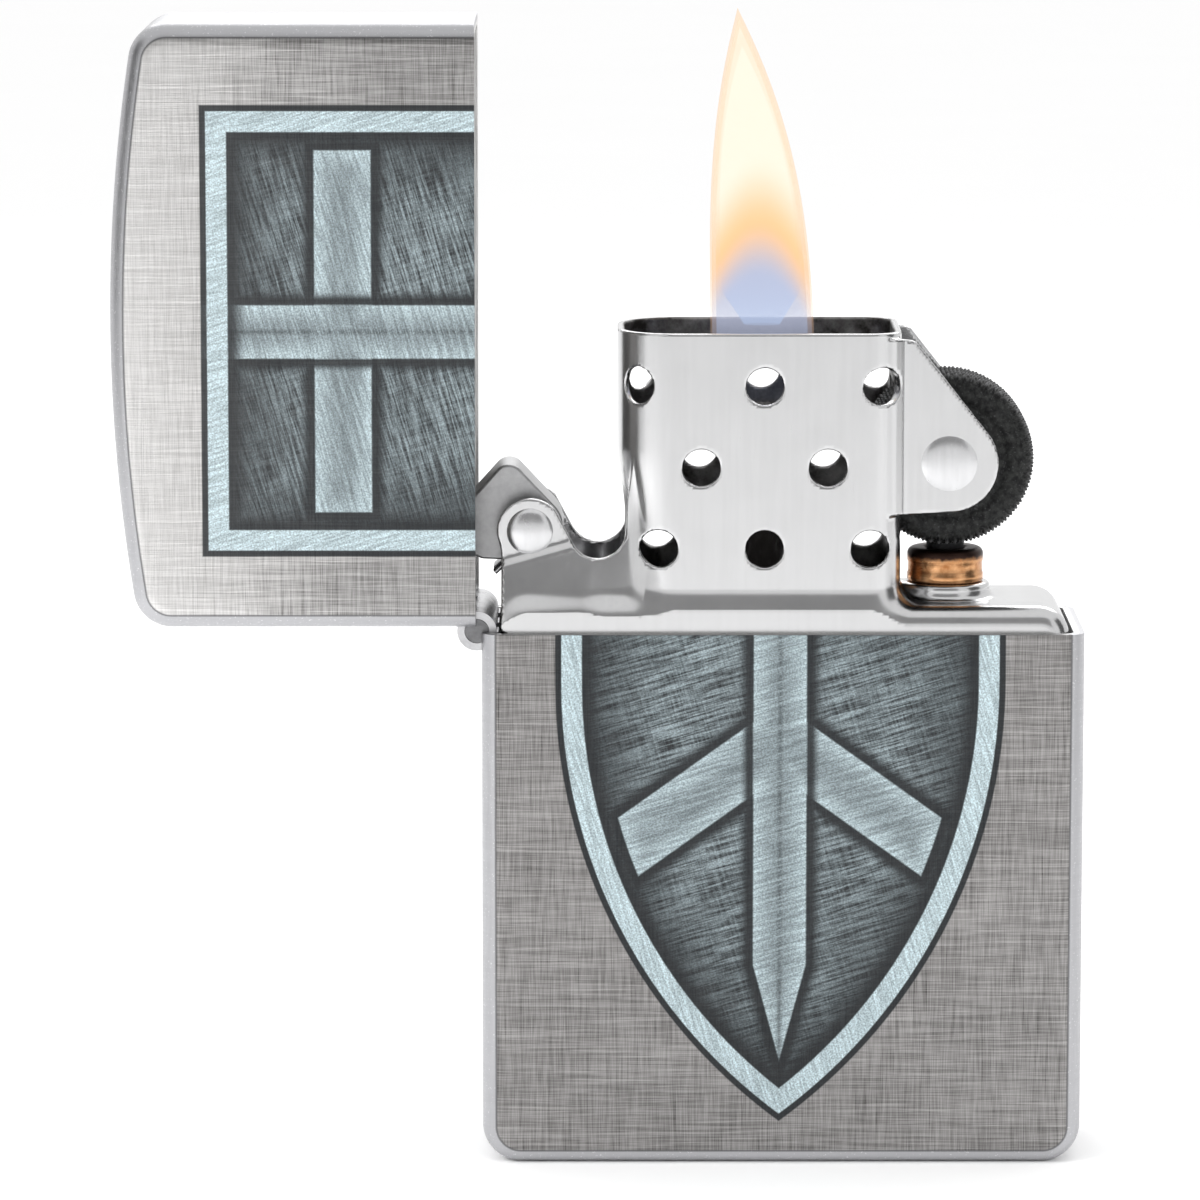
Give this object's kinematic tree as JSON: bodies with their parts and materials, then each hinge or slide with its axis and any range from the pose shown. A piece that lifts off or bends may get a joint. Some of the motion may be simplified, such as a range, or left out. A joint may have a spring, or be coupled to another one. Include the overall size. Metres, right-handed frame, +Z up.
{
  "type": "windproof flip-top lighter",
  "caption": "Refillable petrol pocket lighter: hinged lid, perforated windscreen, striker wheel over a sprung flint, and a wick fed from a packed tank.",
  "frame": {"origin": "centre of the flat underside of the base", "axes": "+Z up, +X from the hinge side towards the striker wheel, front on -Y; the lid stands open at 90 degrees at rest"},
  "size_m": [0.0614, 0.0126, 0.0726],
  "materials": {
    "case": "cross-brushed, clear coated",
    "hinge_steel": "plain",
    "pin_steel": "dull",
    "insert_steel": "bright",
    "wheel_steel": "black oxide, knurled",
    "rivet_steel": "polished",
    "cam_steel": "dull",
    "spring_steel": "satin",
    "tube_brass": "bronze, tarnished lip",
    "flint_alloy": "matt",
    "screw_brass": "plain",
    "wick_cotton": "braided, charred tip",
    "packing_cotton": "fluffy",
    "felt": "felted"
  },
  "bodies": {
    "case": {"base_shell": "case", "base_hinge_leaf": "hinge_steel", "hinge_pin": "pin_steel", "fuel_tank": "insert_steel", "windscreen_top": "insert_steel", "wheel_rivet": "rivet_steel", "cam_rivet": "rivet_steel", "cam_spring": "spring_steel", "cam_spring_rivet": "rivet_steel", "flint_tube": "tube_brass", "flint_spring": "spring_steel", "flint_screw": "screw_brass", "wick": "wick_cotton", "cotton_packing": "packing_cotton", "felt_pad": "felt"},
    "lid": {"lid_shell": "case", "lid_hinge_leaf": "hinge_steel"},
    "cam": {"cam": "cam_steel"},
    "striker": {"striker_wheel": "wheel_steel"},
    "flint_stack": {"flint": "flint_alloy", "flint_pusher": "screw_brass"}
  },
  "joints": [
    {"name": "lid_hinge", "type": "hinge", "parent": "case", "child": "lid", "pos_m": [-0.01935, 0, 0.0342], "axis": [0, -1, 0], "range_deg": [-90, 35], "deforming": ["cam_spring"]},
    {"name": "cam_pivot", "type": "hinge", "parent": "case", "child": "cam", "pos_m": [-0.016, 0, 0.0404], "axis": [0, -1, 0], "range_deg": [-90, 35]},
    {"name": "wheel_spin", "type": "hinge", "parent": "case", "child": "striker", "pos_m": [0.01045, 0, 0.0448], "axis": [0, 1, 0], "continuous": true},
    {"name": "flint_press", "type": "slide", "parent": "case", "child": "flint_stack", "axis": [0, 0, 1], "range_m": [-0.0015, 0], "stiffness_N_per_m": 300, "springref_m": 0.006, "deforming": ["flint_spring"]}
  ],
  "couplings": [
    {"joint": "cam_pivot", "follows": "lid_hinge", "ratio": 1}
  ]
}
